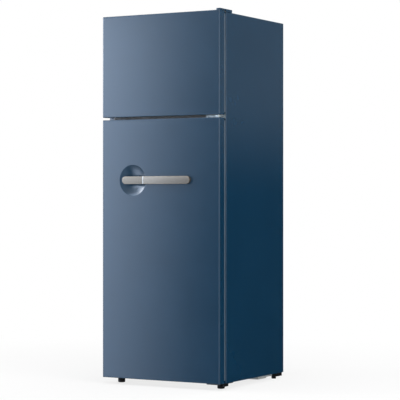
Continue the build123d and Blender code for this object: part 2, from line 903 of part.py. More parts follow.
def make_bottom_hinge():
    plate = corner_plate(1, hinge_y - tongue_half)
    lip = block((half_width - 3 - plate_thickness, half_width - 3), (door_back, door_back + 37),
                (plate_z[0] - bottom_lip_drop, plate_z[1]))
    return plate + lip + bar_z(hinge_x, hinge_y, (plate_z[0], fridge_door_z[0] + pin_length), pin_radius)


def make_left_corner_plate():
    return corner_plate(-1, cabinet_front + 4)


# Bolt heads under both corner plates
def make_corner_bolts():
    pieces = []
    for side in (-1, 1):
        x = side * (half_width - plate_screw_inset)
        for setback in plate_screw_setbacks:
            pieces.append(screw((x, cabinet_front + setback, plate_z[0]), (0, 0, -1)))
    return pieces


# Doors

def door_box(z, inset, front, back):
    half = half_width - inset
    box = block(both(half), (front, back), z)
    return rounded(box, Axis.Z, door_round - inset, lambda p: near(p.Y, front))


def skin_z(z):
    return (z[0] + cap_height, z[1] - cap_height)


# Painted sheet bent round the front and both sides
def make_skin(z):
    inner = door_box(grown(skin_z(z), 1), steel, door_front + steel, door_back + 1)
    return door_box(skin_z(z), 0, door_front, door_back) - inner


# Moulded strip that closes one end of a door, with the boss that turns on the hinge pin
def make_cap(z, upper):
    outer = z[1] if upper else z[0]
    span = (z[1] - cap_height, z[1]) if upper else (z[0], z[0] + cap_height)
    cap = door_box(span, 0, door_front, door_back)
    edges = [e for e in cap.edges() if near(e.center().Z, outer) and e.center().Y < door_back - 1]
    cap = fillet(edges, cap_edge)
    boss_z = sorted((outer, outer - boss_height if upper else outer + boss_height))
    boss = bar_z(hinge_x, hinge_y, boss_z, boss_radius)
    limit = block(both(half_width - steel), (door_front + steel, door_back), grown(boss_z, 1))
    cap += boss & limit
    inward = -1 if upper else 1
    depth = sorted((outer - inward, outer + inward * (pin_length + hinge_clear)))
    return cap - bar_z(hinge_x, hinge_y, depth, pin_radius + pin_play)


# Room that a cap's boss takes up in the foam
def boss_room(z):
    return [bar_z(hinge_x, hinge_y, span, boss_radius)
            for span in ((z[0], z[0] + boss_height), (z[1] - boss_height, z[1]))]


def plug_z(low, high):
    return (low + dyke_clear, high - dyke_clear)


# White inner face of a door with its raised border and the seats of the bins
def make_door_liner(z, plug, bins):
    sheet = block(both(half_width - steel), (door_back - liner_wall, door_back), skin_z(z))
    border_y = (door_back - liner_wall, door_back + dyke_height)
    border = ring(both(dyke_half), border_y, plug, dyke_width, dyke_round)
    tops = [e for e in border.edges() if near(e.center().Y, door_back + dyke_height)]
    border = fillet(tops, dyke_width * 0.25)
    liner = sheet + border
    seat_y = (door_back - liner_wall / 2, fill_back)
    for rise, _ in bins:
        level = plug[0] + dyke_width + rise
        for side in (-1, 1):
            x = sorted((side * (dyke_inner - bin_seat), side * (dyke_inner + liner_wall / 2)))
            liner += block(x, seat_y, (level - bin_seat_height, level))
    return liner - dyke_fill(plug)


# Space inside the raised border, filled with foam
def dyke_fill(plug):
    return ring(both(dyke_half - liner_wall), (door_back - liner_wall, fill_back),
                grown(plug, -liner_wall), dyke_width - 2 * liner_wall, dyke_round - liner_wall)


def make_door_foam(z, plug, extra=()):
    foam = door_box(skin_z(z), steel, door_front + steel, door_back - liner_wall) + dyke_fill(plug)
    for piece in (*boss_room(z), *extra):
        foam -= piece
    return foam


# Magnetic seal: a flat foot, an outer fin, a bellows and the magnet bar
def make_gasket(z):
    x = both(half_width)
    outer_x = grown(x, -gasket_side_inset)
    outer_z = grown(z, -gasket_inset)
    foot_width = magnet_inset + magnet_width - gasket_side_inset
    seal = ring(outer_x, (door_back, door_back + gasket_foot), outer_z, foot_width, gasket_round)
    fin_y = (door_back, door_back + gasket_fin_height)
    seal += ring(outer_x, fin_y, outer_z, gasket_fin_width, gasket_round)
    face = door_back + gasket_gap - gasket_touch
    neck = magnet_inset + (magnet_width - bellows_width) / 2
    seal += ring(grown(x, -neck), (door_back, face), grown(z, -neck), bellows_width, 4)
    magnet_y = (face - magnet_height, face)
    seal += ring(grown(x, -magnet_inset), magnet_y, grown(z, -magnet_inset), magnet_width, 5)
    return seal


# Clear bin, open on top, that sits between the raised borders of a door
def make_bin(low, height):
    x = both(dyke_inner - bin_play)
    y = (door_back + bin_wall / 2, bin_back)
    z = (low, low + height)
    far = lambda p: p.Y > door_back + bin_depth / 2
    body = rounded(block(x, y, z), Axis.Z, bin_round, far)
    hollow = block(grown(x, -bin_wall), grown(y, -bin_wall), (low + bin_wall, z[1] + 1))
    body -= rounded(hollow, Axis.Z, bin_round - bin_wall, far)
    rim_z = (z[1] - bin_rim_height, z[1])
    rim = rounded(block(x, y, rim_z), Axis.Z, bin_round, far)
    wide = bin_wall + bin_rim
    mouth = block(grown(x, -wide), (y[0] + bin_wall, y[1] - wide), grown(rim_z, 1))
    return body + (rim - rounded(mouth, Axis.Z, bin_round - wide, far))


# Round dish behind the grip: a bowl that rolls over a soft lip into the door's face.
# Its section is two arcs that meet smoothly, given as (distance from the middle, depth)
def make_dish():
    rim = dish_diameter / 2
    bowl = (rim**2 + dish_depth**2 - 2 * dish_lip * dish_depth) / (2 * dish_depth)
    bowl_middle = (0, dish_depth - bowl)
    lip_middle = (rim, dish_lip)
    meet = Vector(rim, dish_lip + bowl - dish_depth).get_angle(Vector(1, 0))
    sweep_angle = 90 - meet
    section = make_face([
        CenterArc(bowl_middle, bowl, meet, sweep_angle),
        CenterArc(lip_middle, dish_lip, 180 + meet, sweep_angle),
        Line((rim, 0), (rim, dish_wall)),
        CenterArc(lip_middle, dish_lip - dish_wall, 180 + meet, sweep_angle),
        CenterArc(bowl_middle, bowl + dish_wall, meet, sweep_angle),
        Line((0, dish_depth), (0, dish_depth + dish_wall)),
    ])
    return Pos(dish_x, door_front, handle_z) * revolve(section, Axis.Y)


def dish_plug():
    return bar_y(dish_x, (door_front, door_front + dish_depth + dish_wall), handle_z, dish_diameter / 2)


# Handle: a bar on the door face, a bright band, and the grip that reaches over the dish
handle_x = (handle_start - half_width, handle_start + handle_length - half_width)
band_x = (handle_x[0] + grip_length, handle_x[0] + grip_length + band_width)


# Long cylinder whose surface gives the handle's face a slight crown
def crowned(proud):
    half = handle_height / 2
    radius = (half**2 + handle_crown**2) / (2 * handle_crown)
    axis_y = door_front - handle_stand - proud + radius
    return bar_x(grown(handle_x, 1), axis_y, handle_z, radius)


def handle_slab(thickness):
    z = grown((handle_z, handle_z), handle_height / 2)
    y = (door_front - handle_stand, door_front - handle_stand + thickness)
    slab = panel(handle_x, y, z, handle_height / 2 - 0.01) & crowned(0)
    front = [e for e in slab.edges() if e.center().Y < y[0] + 2 * handle_crown]
    return fillet(front, handle_edge)


def slice_x(shape, x):
    reach = handle_stand + dish_depth
    span = grown((handle_z, handle_z), handle_height)
    return shape & block(x, (door_front - reach, door_front + reach), span)


def stud_places():
    return (dish_x + dish_diameter / 2 + handle_stud_inset / 2, handle_x[1] - handle_stud_inset)


# Studs that hold the bar through the skin; a wider room is left for each in the skin and the foam
def handle_studs(play):
    y = (door_front - 1, door_front + handle_stud_length + play)
    return [bar_y(x, y, handle_z, handle_stud_radius + play) for x in stud_places()]


def make_handle_bar():
    bar = slice_x(handle_slab(handle_stand), (band_x[1], handle_x[1] + 1))
    foot = dish_x + dish_diameter / 2 + 4
    bridge = block((band_x[1] - 1, foot), (door_front - handle_stand + grip_thickness, door_front + 1),
                   grown((handle_z, handle_z), handle_height))
    return bar - bridge + handle_studs(0)


def make_handle_grip():
    return slice_x(handle_slab(grip_thickness), (handle_x[0] - 1, band_x[0]))


def make_handle_band():
    z = grown((handle_z, handle_z), handle_height / 2)
    handle_front = door_front - handle_stand
    band = block(band_x, (handle_front - band_proud, handle_front + grip_thickness), z) & crowned(band_proud)
    return rounded(band, Axis.X, handle_edge, lambda p: p.Y < handle_front + 2 * handle_crown)


# Shelves and drawer

def make_glass(level, back):
    return block(both(cavity_half - shelf_side_play), (shelf_y[0] + shelf_trim_depth / 2, back),
                 (level, level + shelf_thickness))


# Plastic nosing on the front edge of a glass shelf
def make_trim(level, glass):
    below = (shelf_trim_height - shelf_thickness) / 2
    z = (level - below, level - below + shelf_trim_height)
    x = both(cavity_half - shelf_rib_width - shelf_side_play)
    bar = block(x, (shelf_y[0] - shelf_trim_depth / 2, shelf_y[0] + shelf_trim_depth), z)
    bar = rounded(bar, Axis.X, shelf_trim_height * 0.3, lambda p: p.Y < shelf_y[0])
    return bar - glass


# Coated wire rack on the freezer's side ledges
def make_wire_rack():
    z = freezer_shelf_z
    half = cavity_half - shelf_side_play - frame_wire_radius
    front = shelf_y[0] + frame_wire_radius
    back = shelf_y[1] - frame_wire_radius
    rack = bar_y(-half, (front, back), z, frame_wire_radius)
    rack += bar_y(half, (front, back), z, frame_wire_radius)
    for y in (front, (front + back) / 2, back):
        rack += bar_x(grown(both(half), frame_wire_radius * 0.9), y, z, frame_wire_radius)
    count = int(2 * half / wire_spacing)
    step = 2 * half / count
    for index in range(1, count):
        rack += bar_y(index * step - half, (front - wire_radius, back + wire_radius), z, wire_radius)
    return rack


# Vegetable drawer that slides on the fridge floor on two runner ribs
def make_drawer():
    x = both(cavity_half - drawer_side_play)
    y = (drawer_front, hump_front - drawer_rear_play)
    sole = fridge_floor + drawer_play
    z = (sole + drawer_runner_height, hump_top - shelf_rib_height - drawer_top_play)
    body = rounded(block(x, y, z), Axis.Z, drawer_round, lambda p: True)
    hollow = block(grown(x, -drawer_wall), grown(y, -drawer_wall), (z[0] + drawer_wall, z[1] + 1))
    body -= rounded(hollow, Axis.Z, drawer_round - drawer_wall, lambda p: True)
    body = rounded(body, Axis.Y, drawer_round / 2, lambda p: near(p.Z, z[0]))
    pull = panel(both(drawer_pull_width / 2), (y[0] - 1, y[0] + drawer_wall + 1),
                 (z[1] - drawer_pull_drop, z[1] + drawer_pull_drop), drawer_pull_drop * 0.8)
    body -= pull
    for side in (-1, 1):
        middle = side * (x[1] - drawer_runner_inset)
        runner_x = (middle - drawer_runner_width / 2, middle + drawer_runner_width / 2)
        body += block(runner_x, grown(y, -drawer_round), (sole, z[0] + drawer_wall / 2))
    return body


# Control box, lamp and door switch

control_x = both(control_width / 2)
control_y = (cabinet_front + control_front, cabinet_front + control_front + control_depth)
control_z = (fridge_ceiling - control_height, fridge_ceiling)
knob_z = fridge_ceiling - control_height / 2
lamp_x = (-control_width / 2 + 14, -control_width / 2 + 14 + lamp_width)
lamp_y = (control_y[0] + 30, control_y[0] + 30 + lamp_depth)


def make_control_box():
    box = rounded(block(control_x, control_y, control_z), Axis.Z, control_round, lambda p: True)
    low = [e for e in box.edges() if near(e.center().Z, control_z[0])]
    box = fillet(low, control_round * 0.6)
    hollow = block(grown(control_x, -control_wall), grown(control_y, -control_wall),
                   (control_z[0] + control_wall, control_z[1] + 1))
    box -= hollow
    hole_y = (control_y[0] - 1, control_y[0] + control_wall + 1)
    box -= bar_y(knob_place, hole_y, knob_z, shaft_radius + knob_play)
    return box - block(lamp_x, lamp_y, (control_z[0] - 1, control_z[0] + control_wall + 1))


# Switch body with the shaft that the knob sits on
def make_thermostat():
    back = control_y[0] + control_wall
    half = thermostat_size / 2
    body = block((knob_place - half, knob_place + half), (back, back + thermostat_size),
                 (knob_z - half, control_z[1]))
    return body + bar_y(knob_place, (control_y[0] - knob_length + 4, back), knob_z, shaft_radius)


def make_knob():
    y = (control_y[0] - knob_play - knob_length, control_y[0] - knob_play)
    knob = bar_y(knob_place, y, knob_z, knob_radius)
    knob = fillet(knob.edges().filter_by(GeomType.CIRCLE).sort_by(Axis.Y)[0], 2)
    ridge = block((knob_place - knob_ridge_width / 2, knob_place + knob_ridge_width / 2),
                  (y[0] - knob_ridge_height, y[0] + 3), grown((knob_z, knob_z), knob_radius * 0.92))
    knob += rounded(ridge, Axis.Z, 2, lambda p: p.Y < y[0])
    bore_y = (control_y[0] - knob_length + 4 - knob_play, y[1] + 1)
    bore = bar_y(knob_place, bore_y, knob_z, shaft_radius + pin_play)
    return knob - bore


def make_lamp_lens():
    lens = block(lamp_x, lamp_y, (control_z[0] - lamp_drop, control_z[0] + control_wall))
    low = [e for e in lens.edges() if near(e.center().Z, control_z[0] - lamp_drop)]
    lens = fillet(low, lamp_drop * 0.6)
    hollow = block(grown(lamp_x, -control_wall), grown(lamp_y, -control_wall),
                   (control_z[0] - lamp_drop + control_wall, control_z[0] + control_wall + 1))
    return lens - hollow


# Circuit board with its row of small lamps, resting on the lens
def make_lamp_board():
    board_z = (control_z[0] + control_wall, control_z[0] + 2 * control_wall)
    board = block(grown(lamp_x, 2), grown(lamp_y, 2), board_z)
    for index in range(4):
        x = lamp_x[0] + lamp_width * (index + 0.5) / 4
        y = (lamp_y[0] + lamp_y[1]) / 2
        board += block((x - 2.5, x + 2.5), (y - 2.5, y + 2.5), (board_z[0] - 1.5, board_z[0] + 0.5))
    return board


switch_front = door_back + dyke_height + plunger_travel + 4
switch_y = (switch_front, switch_front + switch_length)
switch_z = (fridge_ceiling - switch_height, fridge_ceiling)
plunger_z = fridge_ceiling - dyke_clear - dyke_width / 2 + 2


def make_switch():
    x = (-switch_place - switch_width / 2, -switch_place + switch_width / 2)
    body = rounded(block(x, switch_y, switch_z), Axis.Z, 3, lambda p: True)
    bore_y = (switch_y[0] - 1, switch_y[1] - 4)
    return body - bar_y(-switch_place, bore_y, plunger_z, plunger_radius + plunger_play)


def make_plunger():
    tip = door_back + dyke_height + gasket_touch
    stem = bar_y(-switch_place, (tip, switch_y[1] - 4 - plunger_play), plunger_z, plunger_radius)
    return fillet(stem.edges().filter_by(GeomType.CIRCLE).sort_by(Axis.Y)[0], 1.5)


# Assembly of all pieces

fridge_plug = plug_z(fridge_floor, fridge_ceiling)
freezer_plug = plug_z(freezer_floor, freezer_ceiling)
parts = {}


def build_cabinet():
    parts["cabinet_wrapper"] = make_wrapper()
    parts["base_panel"] = make_base_panel()
    parts["back_panel"] = make_back_panel()
    parts["freezer_liner"] = make_freezer_liner()
    parts["fridge_liner"] = make_fridge_liner()
    parts["mullion_rail"] = make_mullion_rail()
    parts["mullion_plugs"] = make_mullion_plugs()
    parts["condenser_coils"] = [make_condenser(-1), make_condenser(1)]
    parts["evaporator_coil"] = make_evaporator()
    buried = [condenser_pocket(-1), condenser_pocket(1), evaporator_pocket(), suction_channel(),
              foot_well(-1), foot_well(1)]
    parts["cabinet_foam"] = make_cabinet_foam(buried)


def build_inside():
    trims = []
    for name, level in zip(("crisper", "lower", "upper"), fridge_shelf_levels):
        glass = make_glass(level, shelf_y[1])
        parts[name + "_shelf_glass"] = glass
        trims.append(make_trim(level, glass))
    parts["shelf_trims"] = trims
    parts["shelf_ledges"] = make_shelf_ledges()
    parts["freezer_rack"] = make_wire_rack()
    parts["crisper_drawer"] = make_drawer()
    parts["control_box"] = make_control_box()
    parts["thermostat"] = make_thermostat()
    parts["thermostat_knob"] = make_knob()
    parts["lamp_lens"] = make_lamp_lens()
    parts["lamp_board"] = make_lamp_board()
    parts["door_switch"] = make_switch()
    parts["switch_plunger"] = make_plunger()


def build_machinery():
    parts["compressor_tray"] = make_tray()
    parts["cord_gland"] = make_gland()
    parts["compressor"] = make_compressor()
    parts["compressor_grommets"] = make_grommets()
    parts["terminal_cover"] = make_terminal_cover()
    parts["drip_pan"] = make_drip_pan()
    parts["drain_tube"] = make_drain_tube()
    parts["discharge_tube"] = make_discharge_tube()
    parts["suction_tube"] = make_suction_tube()
    parts["filter_drier"] = make_drier()


def build_feet_and_hinges():
    for name, side in (("left", -1), ("right", 1)):
        parts["front_foot_" + name] = make_front_foot(side)
    parts["rear_feet"] = [make_rear_foot(-1), make_rear_foot(1)]
    parts["top_hinge"] = make_top_hinge()
    parts["top_hinge_cover"] = make_top_cover()
    parts["middle_hinge"] = make_middle_hinge()
    parts["bottom_hinge"] = make_bottom_hinge()
    parts["left_corner_plate"] = make_left_corner_plate()
    parts["screws_and_bolts"] = (make_top_hinge_screws() + make_middle_hinge_screws() + make_corner_bolts()
                                 + make_mount_bolts())


def build_door(name, z, plug, bins, cut=None, extra=()):
    skin = make_skin(z)
    parts[name + "_door_skin"] = skin - cut if cut else skin
    parts[name + "_door_caps"] = [make_cap(z, False), make_cap(z, True)]
    parts[name + "_door_liner"] = make_door_liner(z, plug, bins)
    parts[name + "_door_foam"] = make_door_foam(z, plug, extra)
    parts[name + "_door_gasket"] = make_gasket(z)
    return [make_bin(plug[0] + dyke_width + rise, height) for rise, height in bins]


def build_doors():
    parts["freezer_door_bins"] = build_door("freezer", freezer_door_z, freezer_plug, freezer_bins)
    rooms = [dish_plug(), *handle_studs(stud_play)]
    bins = build_door("fridge", fridge_door_z, fridge_plug, fridge_bins, dish_plug() + rooms[1:], rooms)
    parts["fridge_door_bottle_bin"] = bins[0]
    parts["fridge_door_upper_bins"] = bins[1:]
    parts["fridge_door_dish"] = make_dish()
    parts["handle_bar"] = make_handle_bar()
    parts["handle_grip"] = make_handle_grip()
    parts["handle_band"] = make_handle_band()


build_cabinet()
build_inside()
build_machinery()
build_feet_and_hinges()
build_doors()

os.makedirs("parts", exist_ok=True)
for name, shape in parts.items():
    solids = [s for piece in (shape if isinstance(shape, list) else [shape]) for s in piece.solids()]
    export_step(Compound(children=solids) if len(solids) > 1 else solids[0], f"parts/{name}.step")
print(len(parts), "nodes written")
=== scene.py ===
import bpy
import bmesh
import json
import math
from mathutils import Matrix, Vector


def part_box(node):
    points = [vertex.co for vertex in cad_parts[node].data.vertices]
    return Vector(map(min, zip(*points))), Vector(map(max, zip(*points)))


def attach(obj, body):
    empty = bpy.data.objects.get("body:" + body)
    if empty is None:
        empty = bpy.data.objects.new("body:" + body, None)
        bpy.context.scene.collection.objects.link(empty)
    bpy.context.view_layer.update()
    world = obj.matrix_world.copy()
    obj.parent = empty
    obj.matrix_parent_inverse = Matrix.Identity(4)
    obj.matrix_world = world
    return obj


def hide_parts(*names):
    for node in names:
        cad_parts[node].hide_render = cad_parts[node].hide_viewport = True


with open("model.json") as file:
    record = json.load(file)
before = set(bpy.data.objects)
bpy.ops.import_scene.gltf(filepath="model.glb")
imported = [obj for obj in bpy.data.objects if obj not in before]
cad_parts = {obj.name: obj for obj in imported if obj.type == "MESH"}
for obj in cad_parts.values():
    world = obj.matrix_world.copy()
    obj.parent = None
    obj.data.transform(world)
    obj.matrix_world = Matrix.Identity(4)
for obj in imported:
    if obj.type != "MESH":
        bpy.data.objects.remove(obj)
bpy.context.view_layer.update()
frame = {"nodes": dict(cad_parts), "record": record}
print("stage: frame loaded,", len(frame["nodes"]), "nodes")

scene = bpy.context.scene
scene.view_settings.view_transform = "Standard"


# sRGB hex to linear RGBA
def linearColour(hexCode):
    channels = [int(hexCode[i:i + 2], 16) / 255 for i in (1, 3, 5)]
    return [c / 12.92 if c <= 0.04045 else ((c + 0.055) / 1.055) ** 2.4 for c in channels] + [1.0]


# adds one node with its settings; an input given as a socket is linked
def addNode(tree, kind, settings=None, inputs=None):
    node = tree.nodes.new(kind)
    for key, value in (settings or {}).items():
        setattr(node, key, value)
    for key, value in (inputs or {}).items():
        if isinstance(value, bpy.types.NodeSocket):
            tree.links.new(value, node.inputs[key])
        else:
            node.inputs[key].default_value = value
    return node


# pattern scale for features of a given size in millimetres
def perMm(size):
    return 1000.0 / size


# starts a material: its tree, its shader and coordinates in metres of the part
def startMaterial(name, fixed):
    material = bpy.data.materials.new(name)
    material.use_nodes = True
    tree = material.node_tree
    shader = tree.nodes["Principled BSDF"]
    for key, value in fixed.items():
        shader.inputs[key].default_value = value
    place = addNode(tree, "ShaderNodeTexCoord").outputs["Object"]
    return material, tree, shader, place


# colour that wanders between the low and high tone of a finish, in patches of its own size
def wanderingTone(tree, place, look):
    patches = addNode(tree, "ShaderNodeTexNoise", None, {
        "Vector": place, "Scale": perMm(look["toneMm"]), "Detail": look.get("toneDetail", 3.0)})
    ramp = addNode(tree, "ShaderNodeValToRGB", None, {"Fac": patches.outputs["Fac"]})
    for index, (position, tone) in enumerate(((0.3, "low"), (0.7, "high"))):
        ramp.color_ramp.elements[index].position = position
        ramp.color_ramp.elements[index].color = linearColour(look[tone])
    return ramp.outputs["Color"], patches.outputs["Fac"]


# links a finish to its shader: colour, roughness that moves with a factor, relief where a height is given
def linkFinish(tree, shader, look, colour, factor, height=None):
    tree.links.new(colour, shader.inputs["Base Color"])
    if "rough" in look:
        rough = addNode(tree, "ShaderNodeMapRange", None, {
            "Value": factor, "To Min": look["rough"][0], "To Max": look["rough"][1]})
        tree.links.new(rough.outputs["Result"], shader.inputs["Roughness"])
    if height is not None:
        relief = addNode(tree, "ShaderNodeBump", None, {
            "Height": height, "Distance": look["reliefMm"] / 1000, "Strength": 1.0})
        tree.links.new(relief.outputs["Normal"], shader.inputs["Normal"])


# polyester powder paint baked on steel sheet: even navy, semi-gloss, a faint orange peel
def bakedNavyPaint():
    look = {"low": "#0f344d", "high": "#113751", "toneMm": 180, "rough": (0.17, 0.20),
            "peelMm": 9, "reliefMm": 0.005}
    material, tree, shader, place = startMaterial("bakedNavyPaint", {"IOR": 1.58})
    colour, factor = wanderingTone(tree, place, look)
    peel = addNode(tree, "ShaderNodeTexNoise", None, {
        "Vector": place, "Scale": perMm(look["peelMm"]), "Detail": 1.0})
    linkFinish(tree, shader, look, colour, factor, peel.outputs["Fac"])
    return material


# ABS moulded in the door colour: the same navy, a touch duller, fine mould grain
def mouldedNavyAbs():
    look = {"low": "#10354e", "high": "#123952", "toneMm": 60, "rough": (0.2, 0.25),
            "grainMm": 0.9, "reliefMm": 0.006}
    material, tree, shader, place = startMaterial("mouldedNavyAbs", {"IOR": 1.53})
    colour, factor = wanderingTone(tree, place, look)
    grain = addNode(tree, "ShaderNodeTexNoise", None, {
        "Vector": place, "Scale": perMm(look["grainMm"]), "Detail": 2.0})
    linkFinish(tree, shader, look, colour, factor, grain.outputs["Fac"])
    return material


# hot-dip galvanised sheet: pale zinc broken into spangles of different sheen
def galvanisedSheet():
    look = {"low": "#a3a4a3", "high": "#b2b3b1", "rough": (0.38, 0.47), "spangleMm": 7}
    material, tree, shader, place = startMaterial("galvanisedSheet", {"Metallic": 1.0})
    cells = addNode(tree, "ShaderNodeTexVoronoi", None, {"Vector": place, "Scale": perMm(look["spangleMm"])})
    spangle = addNode(tree, "ShaderNodeSeparateColor", None, {"Color": cells.outputs["Color"]})
    ramp = addNode(tree, "ShaderNodeValToRGB", None, {"Fac": spangle.outputs["Red"]})
    ramp.color_ramp.elements[0].color = linearColour(look["low"])
    ramp.color_ramp.elements[1].color = linearColour(look["high"])
    linkFinish(tree, shader, look, ramp.outputs["Color"], spangle.outputs["Green"])
    return material


# rigid polyurethane foam: straw-coloured, matt, full of small cells
def rigidFoam():
    look = {"low": "#cdbb86", "high": "#e2d4a4", "toneMm": 25, "cellMm": 1.6, "reliefMm": 0.4}
    material, tree, shader, place = startMaterial("rigidFoam", {"Roughness": 0.9, "IOR": 1.45})
    colour, factor = wanderingTone(tree, place, look)
    cells = addNode(tree, "ShaderNodeTexVoronoi", None, {"Vector": place, "Scale": perMm(look["cellMm"])})
    linkFinish(tree, shader, look, colour, factor, cells.outputs["Distance"])
    return material


# high-impact polystyrene drawn over a mould by vacuum: bright white, soft gloss, slow waves
def vacuumFormedWhite():
    look = {"low": "#e9ebec", "high": "#ecedee", "toneMm": 140, "rough": (0.27, 0.3),
            "waveMm": 90, "reliefMm": 0.03}
    material, tree, shader, place = startMaterial("vacuumFormedWhite", {"IOR": 1.55})
    colour, factor = wanderingTone(tree, place, look)
    wave = addNode(tree, "ShaderNodeTexNoise", None, {
        "Vector": place, "Scale": perMm(look["waveMm"]), "Detail": 1.0})
    linkFinish(tree, shader, look, colour, factor, wave.outputs["Fac"])
    return material


# white ABS from a sparked mould: matt with a very fine grain
def mouldedWhiteAbs():
    look = {"low": "#e2e5e6", "high": "#ebedee", "toneMm": 40, "rough": (0.42, 0.5),
            "grainMm": 0.8, "reliefMm": 0.02}
    material, tree, shader, place = startMaterial("mouldedWhiteAbs", {"IOR": 1.53})
    colour, factor = wanderingTone(tree, place, look)
    grain = addNode(tree, "ShaderNodeTexNoise", None, {
        "Vector": place, "Scale": perMm(look["grainMm"]), "Detail": 2.0})
    linkFinish(tree, shader, look, colour, factor, grain.outputs["Fac"])
    return material


# stove paint on pressed steel, smooth and satin: grey between the compartments, paler on the compressor tray
def stovePaint(name, low, high):
    look = {"low": low, "high": high, "toneMm": 35, "rough": (0.4, 0.48)}
    material, tree, shader, place = startMaterial(name, {"IOR": 1.5})
    colour, factor = wanderingTone(tree, place, look)
    linkFinish(tree, shader, look, colour, factor)
    return material


# polypropylene plug pressed into a spare hole: light grey, waxy
def greyPolypropylene():
    look = {"low": "#9a9b9c", "high": "#a6a7a8", "toneMm": 4, "rough": (0.45, 0.55)}
    material, tree, shader, place = startMaterial("greyPolypropylene", {"IOR": 1.49})
    colour, factor = wanderingTone(tree, place, look)
    linkFinish(tree, shader, look, colour, factor)
    return material


# drawn copper tube: warm metal with brown handling stains
def drawnCopper():
    look = {"low": "#8a5036", "high": "#c0805a", "toneMm": 14, "toneDetail": 5.0, "rough": (0.26, 0.42)}
    material, tree, shader, place = startMaterial("drawnCopper", {"Metallic": 1.0})
    colour, factor = wanderingTone(tree, place, look)
    linkFinish(tree, shader, look, colour, factor)
    return material


# toughened float glass: clear with a green cast, faint wipe marks in its sheen
def toughenedGlass():
    look = {"low": "#e3f1ea", "high": "#eef7f3", "toneMm": 60, "rough": (0.02, 0.07)}
    material, tree, shader, place = startMaterial("toughenedGlass", {"IOR": 1.52, "Transmission Weight": 1.0})
    colour, factor = wanderingTone(tree, place, look)
    linkFinish(tree, shader, look, colour, factor)
    return material


# crystal polystyrene injected into a polished mould: clear, a cold tint, slight flow marks along its width
def clearPolystyrene():
    look = {"low": "#e4eef4", "high": "#f1f6f9", "toneMm": 30, "flowSqueeze": 0.25, "rough": (0.05, 0.11)}
    material, tree, shader, place = startMaterial("clearPolystyrene", {
        "IOR": 1.59, "Transmission Weight": 0.92})
    flow = addNode(tree, "ShaderNodeMapping", None, {
        "Vector": place, "Scale": (look["flowSqueeze"], 1.0, 1.0)})
    colour, factor = wanderingTone(tree, flow.outputs["Vector"], look)
    linkFinish(tree, shader, look, colour, factor)
    return material


# steel wire dipped in white polyethylene: thick soft coat with slow runs
def dippedWhiteWire():
    look = {"low": "#e6e8e8", "high": "#f0f1f1", "toneMm": 18, "rough": (0.3, 0.4), "reliefMm": 0.15}
    material, tree, shader, place = startMaterial("dippedWhiteWire", {"IOR": 1.51})
    colour, factor = wanderingTone(tree, place, look)
    linkFinish(tree, shader, look, colour, factor, factor)
    return material


# opal polycarbonate lens: milky, glows softly from the lamps behind it
def opalPolycarbonate():
    look = {"low": "#f3f1e8", "high": "#fbfaf5", "toneMm": 12, "rough": (0.3, 0.4)}
    material, tree, shader, place = startMaterial("opalPolycarbonate", {
        "IOR": 1.58, "Transmission Weight": 0.35,
        "Emission Color": linearColour("#fff6e4"), "Emission Strength": 0.35})
    colour, factor = wanderingTone(tree, place, look)
    linkFinish(tree, shader, look, colour, factor)
    return material


# white solder mask on a glass-fibre board, with the weave just showing through
def solderMask():
    look = {"low": "#d7ddd6", "high": "#e6eae5", "rough": (0.35, 0.45), "weaveMm": 1.2}
    material, tree, shader, place = startMaterial("solderMask", {"IOR": 1.5})
    weave = addNode(tree, "ShaderNodeTexChecker", None, {
        "Vector": place, "Scale": perMm(look["weaveMm"]),
        "Color1": linearColour(look["low"]), "Color2": linearColour(look["high"])})
    linkFinish(tree, shader, look, weave.outputs["Color"], weave.outputs["Fac"])
    return material


# black stove enamel on pressed steel: deep black, soft gloss, slight peel
def blackStoveEnamel():
    look = {"low": "#0a0b0d", "high": "#16181b", "toneMm": 30, "rough": (0.3, 0.45),
            "peelMm": 3.0, "reliefMm": 0.02}
    material, tree, shader, place = startMaterial("blackStoveEnamel", {"IOR": 1.5})
    colour, factor = wanderingTone(tree, place, look)
    peel = addNode(tree, "ShaderNodeTexNoise", None, {
        "Vector": place, "Scale": perMm(look["peelMm"]), "Detail": 1.0})
    linkFinish(tree, shader, look, colour, factor, peel.outputs["Fac"])
    return material


# glass-filled nylon, moulded black: matt, a weak sheen, a gritty grain
def mouldedBlackNylon():
    look = {"low": "#060708", "high": "#0c0d0f", "toneMm": 8, "rough": (0.45, 0.6),
            "grainMm": 0.7, "reliefMm": 0.03}
    material, tree, shader, place = startMaterial("mouldedBlackNylon", {
        "IOR": 1.53, "Specular IOR Level": 0.2})
    colour, factor = wanderingTone(tree, place, look)
    grain = addNode(tree, "ShaderNodeTexNoise", None, {
        "Vector": place, "Scale": perMm(look["grainMm"]), "Detail": 2.0})
    linkFinish(tree, shader, look, colour, factor, grain.outputs["Fac"])
    return material


# moulded black rubber: dull, bloomed slightly grey
def mouldedRubber():
    look = {"low": "#0d0d0e", "high": "#1d1e1f", "toneMm": 6, "rough": (0.65, 0.8)}
    material, tree, shader, place = startMaterial("mouldedRubber", {"IOR": 1.52})
    colour, factor = wanderingTone(tree, place, look)
    linkFinish(tree, shader, look, colour, factor)
    return material


# extruded soft vinyl seal: grey, satin, fine draw lines along it
def extrudedVinyl():
    look = {"low": "#53606e", "high": "#5d6a77", "toneMm": 40, "rough": (0.48, 0.58),
            "lineMm": 0.8, "reliefMm": 0.04}
    material, tree, shader, place = startMaterial("extrudedVinyl", {"IOR": 1.53})
    colour, factor = wanderingTone(tree, place, look)
    lines = addNode(tree, "ShaderNodeTexWave", {"bands_direction": "Y"}, {
        "Vector": place, "Scale": perMm(look["lineMm"]) / math.tau, "Distortion": 0.4})
    linkFinish(tree, shader, look, colour, factor, lines.outputs["Fac"])
    return material


